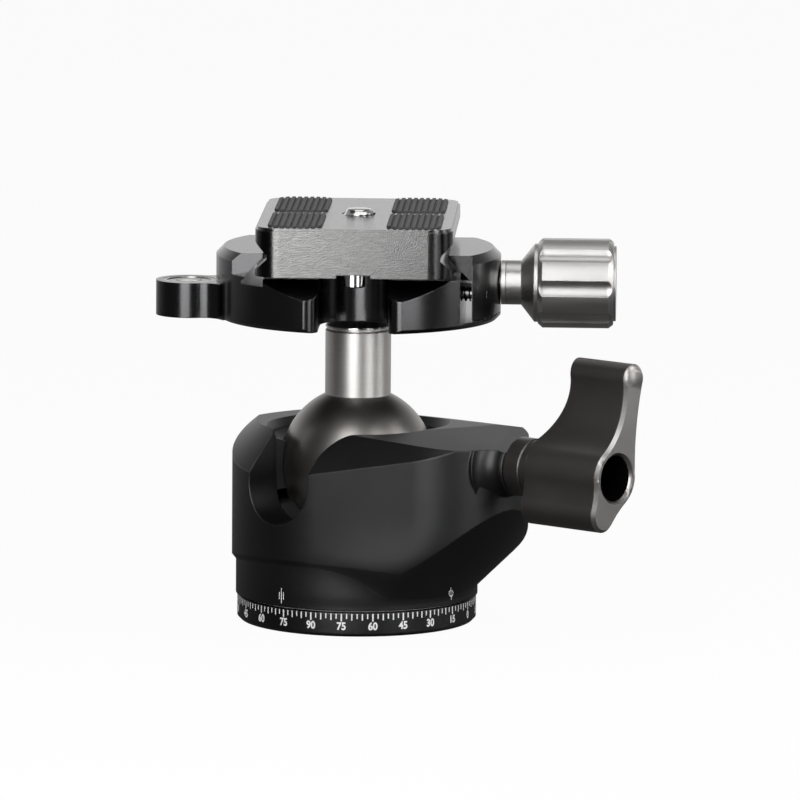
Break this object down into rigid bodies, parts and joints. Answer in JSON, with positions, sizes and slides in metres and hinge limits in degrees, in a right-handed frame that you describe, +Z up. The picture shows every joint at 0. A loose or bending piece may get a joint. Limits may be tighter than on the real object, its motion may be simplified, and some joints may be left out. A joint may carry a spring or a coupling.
{
  "type": "tripod ball head",
  "caption": "Ball head with a panning base, side lock lever, drop notch, and a dovetail clamp holding a camera plate.",
  "frame": {"origin": "centre of the base's bottom face, at the mouth of the tripod thread", "axes": "+Z up the main axis toward the plate, +X from the main axis toward the clamp's silver knob, +Y along the dovetail the plate slides in"},
  "size_m": [0.0955, 0.0717, 0.0803],
  "materials": {
    "black_anodised": "satin black anodised",
    "slip_polymer": "plain low-friction polymer",
    "steel": "turned stainless steel",
    "brake_polymer": "plain polymer brake pad",
    "dark_polymer": "dark bearing polymer",
    "brass": "machined brass",
    "lever_metal": "satin dark titanium-grey anodised",
    "black_steel": "black oxide",
    "ball_metal": "satin hard-anodised grey",
    "neck_metal": "satin turned silver",
    "polished": "polished",
    "knob_silver": "bead-blasted silver anodised",
    "vial": "clear acrylic",
    "fluid": "tinted spirit",
    "rubber": "ribbed matt rubber"
  },
  "bodies": {
    "base": {"base_plate": "black_anodised", "spindle": "black_anodised", "thread_bushing": "steel", "bushing_pins": "steel", "lower_slip_ring": "slip_polymer", "upper_slip_ring": "slip_polymer", "retaining_disc": "steel", "retaining_screws": "steel"},
    "housing": {"housing": "black_anodised", "ball_cup": "dark_polymer", "cup_spring": "steel", "ball_liner": "dark_polymer", "lock_bushing": "brass"},
    "lock_shoe": {"lock_shoe": "brake_polymer"},
    "lock_knob": {"lock_screw": "steel", "lock_lever": "lever_metal", "lock_collar": "lever_metal", "lock_washer": "lever_metal", "lever_screw": "black_steel"},
    "pan_brake": {"pan_brake_pad": "brake_polymer"},
    "pan_knob": {"pan_lock_knob": "black_anodised", "pan_lock_screw": "steel"},
    "ball": {"ball": "ball_metal", "neck": "neck_metal", "neck_ring": "polished", "head_screw": "steel"},
    "head": {"clamp_body": "black_anodised", "level_bezel": "steel", "level_vial": "vial", "level_fluid": "fluid", "head_pins": "steel", "guide_pins": "polished", "jaw_springs": "steel", "screw_bushing": "brass"},
    "jaw": {"moving_jaw": "black_anodised"},
    "clamp_knob": {"clamp_screw": "steel", "clamp_knob": "knob_silver", "knob_washer": "steel"},
    "plate": {"quick_plate": "black_anodised", "rubber_pads": "rubber", "stop_screws": "polished", "screw_retainer": "steel"},
    "camera_screw": {"camera_screw": "polished"}
  },
  "joints": [
    {"name": "pan", "type": "hinge", "parent": "base", "child": "housing", "pos_m": [0, 0, 0.005], "axis": [0, 0, 1], "continuous": true},
    {"name": "lock_turn", "type": "hinge", "parent": "housing", "child": "lock_knob", "pos_m": [0, 0, 0.034], "axis": [0.7934, -0.6088, 0], "range_deg": [-90, 0]},
    {"name": "lock_shoe_slide", "type": "slide", "parent": "housing", "child": "lock_shoe", "axis": [-0.7934, 0.6088, 0], "range_m": [0, 0.00025]},
    {"name": "pan_lock_turn", "type": "hinge", "parent": "housing", "child": "pan_knob", "pos_m": [0, 0, 0.0082], "axis": [0.6088, 0.7934, 0], "range_deg": [-100, 0]},
    {"name": "pan_brake_slide", "type": "slide", "parent": "housing", "child": "pan_brake", "axis": [-0.6088, -0.7934, 0], "range_m": [0, 0.00019444]},
    {"name": "ball_tilt", "type": "hinge", "parent": "housing", "child": "ball", "pos_m": [0, 0, 0.0305], "axis": [0.7934, -0.6088, 0], "range_deg": [-30, 90]},
    {"name": "head_turn", "type": "hinge", "parent": "ball", "child": "head", "pos_m": [0, 0, 0.0575], "axis": [0, 0, 1], "continuous": true},
    {"name": "jaw_slide", "type": "slide", "parent": "head", "child": "jaw", "axis": [1, 0, 0], "range_m": [0, 0.0016]},
    {"name": "clamp_turn", "type": "hinge", "parent": "jaw", "child": "clamp_knob", "pos_m": [0, 0, 0.0662], "axis": [1, 0, 0], "range_deg": [0, 576]},
    {"name": "plate_slide", "type": "slide", "parent": "head", "child": "plate", "axis": [0, 1, 0], "range_m": [-0.01, 0.01]},
    {"name": "camera_screw_turn", "type": "hinge", "parent": "plate", "child": "camera_screw", "pos_m": [0, 0, 0.072], "axis": [0, 0, 1], "continuous": true}
  ],
  "couplings": [
    {"joint": "lock_turn", "follows": "lock_shoe_slide", "rad_per_m": -6283.2},
    {"joint": "pan_lock_turn", "follows": "pan_brake_slide", "rad_per_m": -8976},
    {"joint": "clamp_turn", "follows": "jaw_slide", "rad_per_m": 6283.2}
  ]
}
